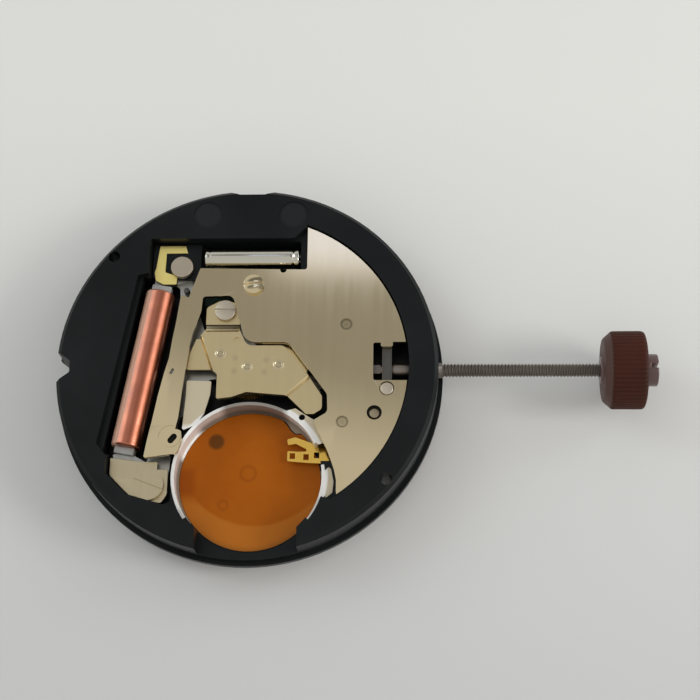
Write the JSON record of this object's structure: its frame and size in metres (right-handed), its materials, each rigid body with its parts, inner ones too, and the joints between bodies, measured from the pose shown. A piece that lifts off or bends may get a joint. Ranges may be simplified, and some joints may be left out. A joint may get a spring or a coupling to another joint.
{
  "type": "quartz watch movement",
  "caption": "Round quartz watch movement with a black main plate, copper coil, battery well, date ring, hand pipes, and a threaded stem with a fluted crown that turns and pulls.",
  "frame": {"origin": "the axis of the hands, at the plane that the dial rests on", "axes": "+X along the stem to the crown, +Z from the dial side to the battery side, +Y completes a right-handed frame"},
  "size_m": [0.0403, 0.0261, 0.0062],
  "materials": {
    "black_resin": "satin black moulded resin",
    "champagne_plate": "finely grained champagne plating",
    "nickel_steel": "bright steel, brushed",
    "blued_screw": "polished steel, pale gold",
    "soft_iron": "grey soft magnetic alloy",
    "copper_wire": "enamelled copper wire",
    "grey_resin": "grey moulded resin",
    "gold_track": "gold plated",
    "green_board": "laminate with green lacquer",
    "black_chip": "black epoxy",
    "crystal_metal": "plain metal can",
    "amber_film": "thin translucent orange film",
    "wheel_brass": "gold plated brass",
    "white_resin": "white resin",
    "dark_magnet": "sintered magnet, grey",
    "brown_crown": "dark brown coating, fluted",
    "brown_core": "dark brown coating",
    "stem_steel": "grey brown steel, threaded"
  },
  "bodies": {
    "movement": {"main_plate": "black_resin", "cover_plate": "champagne_plate", "cover_screw": "blued_screw", "locating_pin": "nickel_steel", "train_bridge": "champagne_plate", "bridge_screw": "blued_screw", "stator": "soft_iron", "coil_core": "soft_iron", "coil_winding": "copper_wire", "upper_coil_sleeve": "grey_resin", "lower_coil_sleeve": "grey_resin", "coil_pin": "nickel_steel", "circuit_block": "black_resin", "contact_track": "gold_track", "coil_post": "blued_screw", "circuit_board": "green_board", "circuit_chip": "black_chip", "crystal_can": "crystal_metal", "crystal_cap": "black_chip", "crystal_leads": "nickel_steel", "clamp_plate": "champagne_plate", "clamp_screw": "blued_screw", "battery_wall": "nickel_steel", "battery_clip": "nickel_steel", "insulating_film": "amber_film", "date_jumper": "nickel_steel", "date_cover": "nickel_steel", "small_screws": "nickel_steel", "yoke": "nickel_steel", "yoke_pin": "nickel_steel"},
    "seconds": {"seconds_wheel": "wheel_brass", "seconds_arbor": "nickel_steel"},
    "rotor": {"rotor_magnet": "dark_magnet", "rotor_pinion": "white_resin"},
    "intermediate": {"intermediate_wheel": "white_resin"},
    "third": {"third_wheel": "wheel_brass", "third_pinion": "nickel_steel"},
    "centre": {"centre_wheel": "wheel_brass", "cannon_pinion": "nickel_steel"},
    "minute": {"minute_wheel": "wheel_brass"},
    "hour": {"hour_wheel": "wheel_brass"},
    "idler": {"date_idler": "white_resin"},
    "date_drive": {"date_wheel": "white_resin", "date_finger": "nickel_steel"},
    "setting": {"setting_wheel": "nickel_steel"},
    "calendar": {"date_ring": "white_resin"},
    "corrector": {"date_corrector": "nickel_steel"},
    "pinion": {"sliding_pinion": "nickel_steel"},
    "winder": {"stem": "stem_steel", "crown": "brown_crown", "crown_core": "brown_core"},
    "lever": {"setting_lever": "nickel_steel"},
    "button": {"release_button": "nickel_steel"},
    "contact": {"contact_spring": "gold_track"}
  },
  "joints": [
    {"name": "seconds_turn", "type": "hinge", "parent": "movement", "child": "seconds", "pos_m": [0, 0, 0], "axis": [0, 0, 1], "continuous": true},
    {"name": "rotor_turn", "type": "hinge", "parent": "movement", "child": "rotor", "pos_m": [-0.00183, 0.00092, 0], "axis": [0, 0, 1], "continuous": true},
    {"name": "intermediate_turn", "type": "hinge", "parent": "movement", "child": "intermediate", "pos_m": [-0.00075, 0.00187, 0], "axis": [0, 0, 1], "continuous": true},
    {"name": "third_turn", "type": "hinge", "parent": "movement", "child": "third", "pos_m": [0.00211, 0.00015, 0], "axis": [0, 0, 1], "continuous": true},
    {"name": "centre_turn", "type": "hinge", "parent": "movement", "child": "centre", "pos_m": [0, 0, 0], "axis": [0, 0, 1], "continuous": true},
    {"name": "minute_turn", "type": "hinge", "parent": "movement", "child": "minute", "pos_m": [0.00193, -0.00052, 0], "axis": [0, 0, 1], "continuous": true},
    {"name": "hour_turn", "type": "hinge", "parent": "movement", "child": "hour", "pos_m": [0, 0, 0], "axis": [0, 0, 1], "continuous": true},
    {"name": "idler_turn", "type": "hinge", "parent": "movement", "child": "idler", "pos_m": [-0.00277, 0.0016, 0], "axis": [0, 0, 1], "continuous": true},
    {"name": "date_drive_turn", "type": "hinge", "parent": "movement", "child": "date_drive", "pos_m": [-0.00671, 0.00229, 0], "axis": [0, 0, 1], "continuous": true},
    {"name": "setting_turn", "type": "hinge", "parent": "movement", "child": "setting", "pos_m": [0.0041, -0.00059, 0], "axis": [0, 0, 1], "continuous": true},
    {"name": "calendar_turn", "type": "hinge", "parent": "movement", "child": "calendar", "pos_m": [0, 0, 0], "axis": [0, 0, 1], "continuous": true, "deforming": ["date_jumper"]},
    {"name": "corrector_turn", "type": "hinge", "parent": "movement", "child": "corrector", "pos_m": [0.0073, -0.0023, 0], "axis": [0, 0, 1], "continuous": true},
    {"name": "crown_turn", "type": "hinge", "parent": "movement", "child": "pinion", "pos_m": [0.006, 0, 0.00165], "axis": [1, 0, 0], "continuous": true},
    {"name": "stem_pull", "type": "slide", "parent": "pinion", "child": "winder", "axis": [1, 0, 0], "range_m": [0, 0.0007]},
    {"name": "lever_swing", "type": "hinge", "parent": "movement", "child": "lever", "pos_m": [0.00936, -0.00162, 0.00165], "axis": [0, 0, 1], "range_deg": [-20, 0]},
    {"name": "release_press", "type": "slide", "parent": "movement", "child": "button", "axis": [0, 0, -1], "range_m": [0, 0.0002], "stiffness_N_per_m": 60},
    {"name": "contact_flex", "type": "hinge", "parent": "movement", "child": "contact", "pos_m": [0.00505, -0.00575, 0.00126], "axis": [0, 1, 0], "range_deg": [-6, 0], "stiffness_Nm_per_rad": 0.002}
  ],
  "couplings": [
    {"joint": "intermediate_turn", "follows": "seconds_turn", "ratio": -6},
    {"joint": "rotor_turn", "follows": "seconds_turn", "ratio": 30},
    {"joint": "third_turn", "follows": "seconds_turn", "ratio": -0.1},
    {"joint": "centre_turn", "follows": "seconds_turn", "ratio": 0.016667},
    {"joint": "minute_turn", "follows": "seconds_turn", "ratio": -0.0055556},
    {"joint": "hour_turn", "follows": "seconds_turn", "ratio": 0.0013889},
    {"joint": "idler_turn", "follows": "seconds_turn", "ratio": -0.00046296},
    {"joint": "date_drive_turn", "follows": "seconds_turn", "ratio": 0.00069444},
    {"joint": "setting_turn", "follows": "seconds_turn", "ratio": 0.0125},
    {"joint": "lever_swing", "follows": "stem_pull", "rad_per_m": -471.7}
  ]
}
